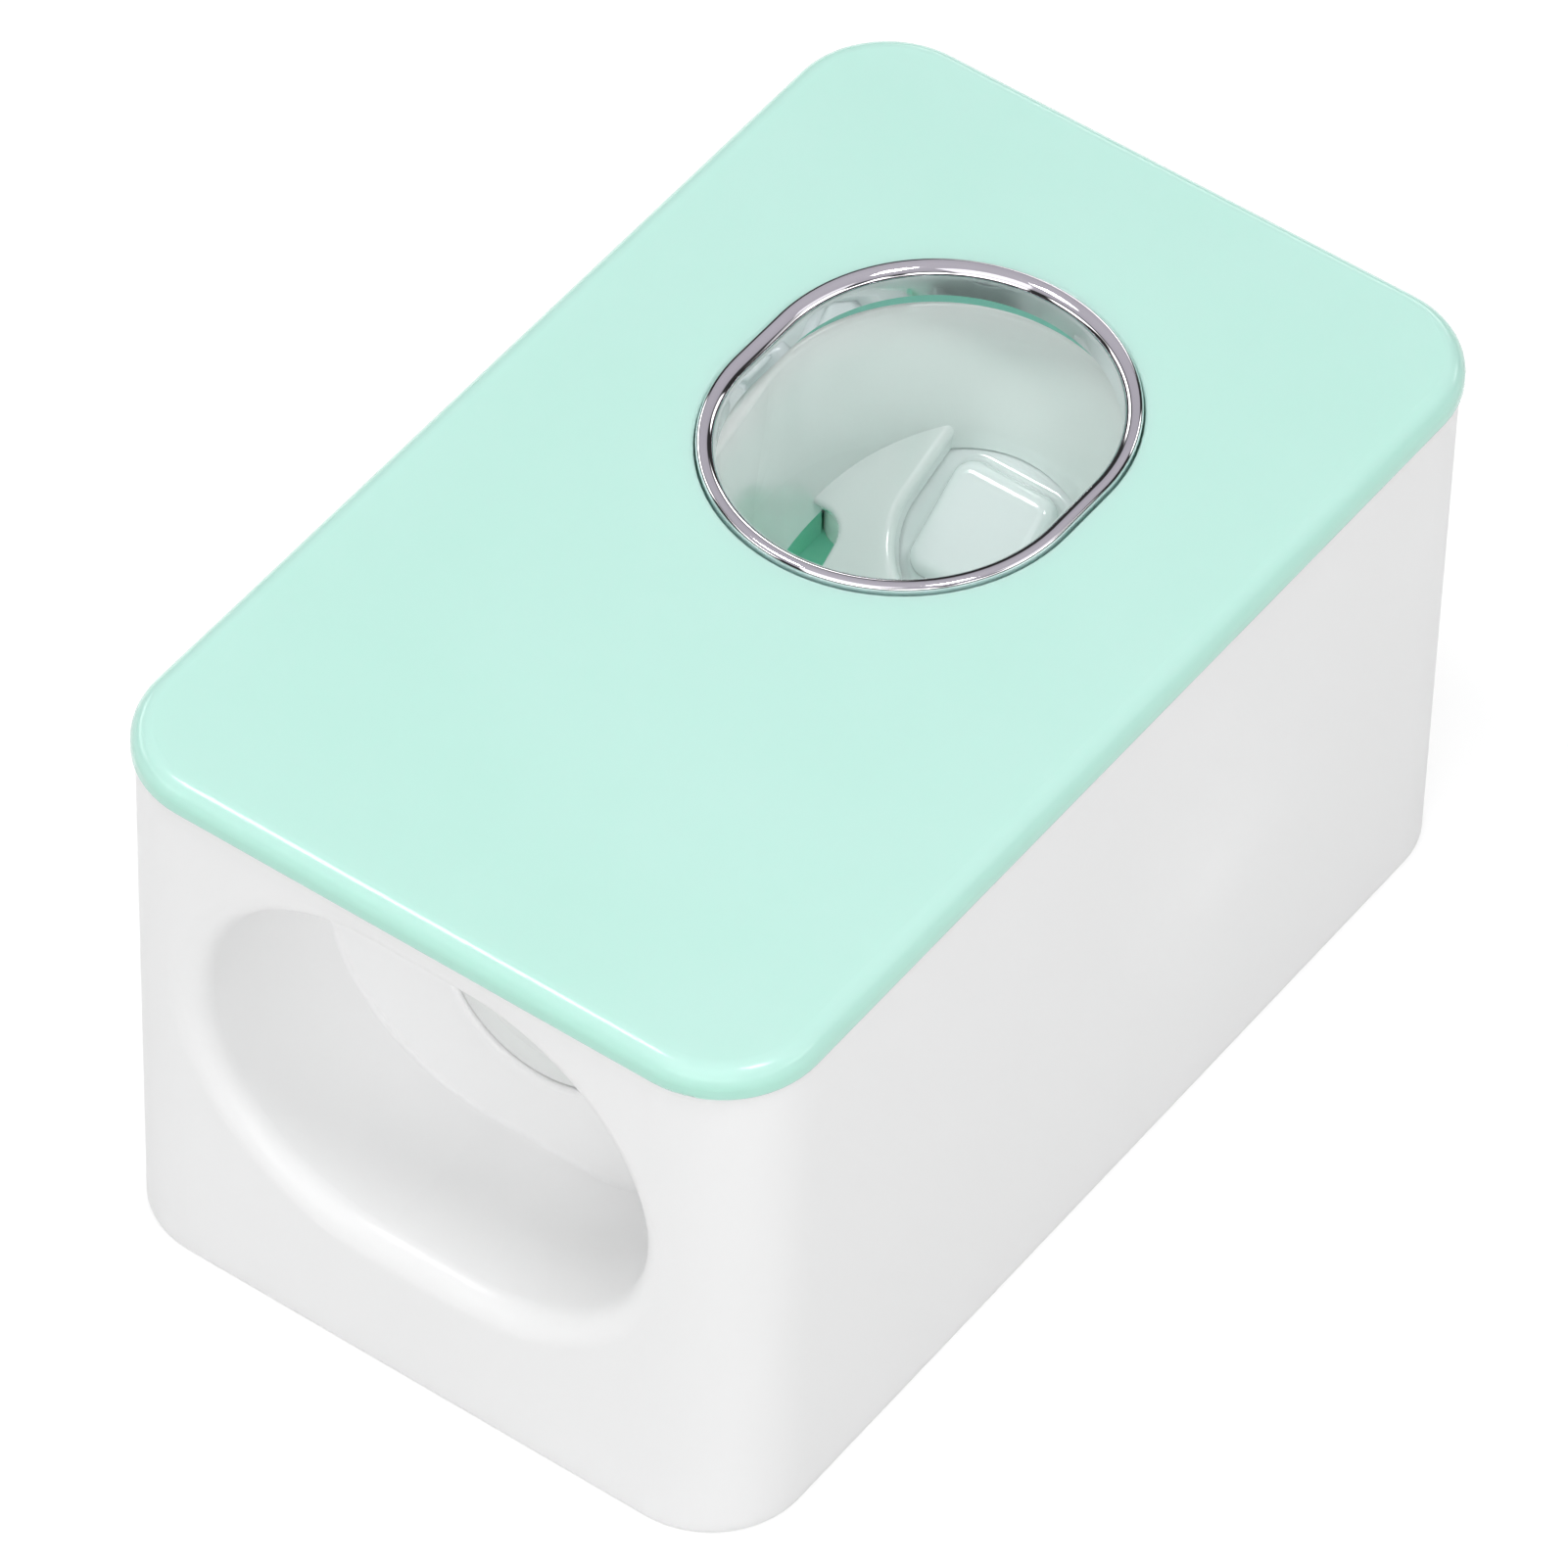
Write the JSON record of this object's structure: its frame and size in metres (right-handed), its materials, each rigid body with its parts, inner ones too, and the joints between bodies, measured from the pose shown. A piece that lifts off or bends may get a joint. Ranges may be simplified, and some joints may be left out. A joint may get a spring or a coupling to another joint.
{
  "type": "toothpaste dispenser",
  "caption": "Wall-mounted push-in toothpaste dispenser: a box with a tube recess in one end, a mint cover with a ringed brush opening, and a sprung lever that works a small paste pump.",
  "frame": {"origin": "middle of the back face, which goes against the wall", "axes": "+Z out of the front cover, +Y from the tube recess to the brush opening, +X across"},
  "size_m": [0.074, 0.12, 0.0642],
  "materials": {
    "white_shell": "glossy moulded ABS",
    "mint_cover": "glossy moulded ABS",
    "mint_back": "satin moulded ABS",
    "bright_ring": "bright plating",
    "white_inner": "glossy moulded ABS",
    "pump_plastic": "acetal, as moulded",
    "silicone": "clear white silicone",
    "stop_rubber": "matt rubber",
    "spring_steel": "drawn wire",
    "pin_steel": "ground",
    "screw_steel": "zinc plated"
  },
  "bodies": {
    "case": {"housing": "white_shell", "front_cover": "mint_cover", "trim_ring": "bright_ring", "brush_chamber": "white_inner", "rear_cover": "mint_back", "pump_body": "pump_plastic", "cylinder_cap": "pump_plastic", "inlet_seal": "silicone", "inlet_valve": "silicone", "outlet_valve": "silicone", "nozzle": "white_inner", "lever_pin": "pin_steel", "pin_clips": "spring_steel", "stop_pad": "stop_rubber", "rear_screws": "screw_steel", "chamber_screws": "screw_steel", "pump_screws": "screw_steel"},
    "lever": {"push_lever": "white_inner"},
    "plunger": {"plunger": "pump_plastic", "piston_cup": "silicone", "return_spring": "spring_steel"}
  },
  "joints": [
    {"name": "lever_push", "type": "hinge", "parent": "case", "child": "lever", "pos_m": [0, -0.006, 0.0095], "axis": [-1, 0, 0], "range_deg": [0, 14], "stiffness_Nm_per_rad": 0.35, "springref_deg": -17.19},
    {"name": "plunger_slide", "type": "slide", "parent": "case", "child": "plunger", "axis": [0, 0, 1], "range_m": [0, 0.00342], "deforming": ["return_spring"]}
  ],
  "couplings": [
    {"joint": "plunger_slide", "follows": "lever_push", "m_per_rad": 0.013965}
  ]
}
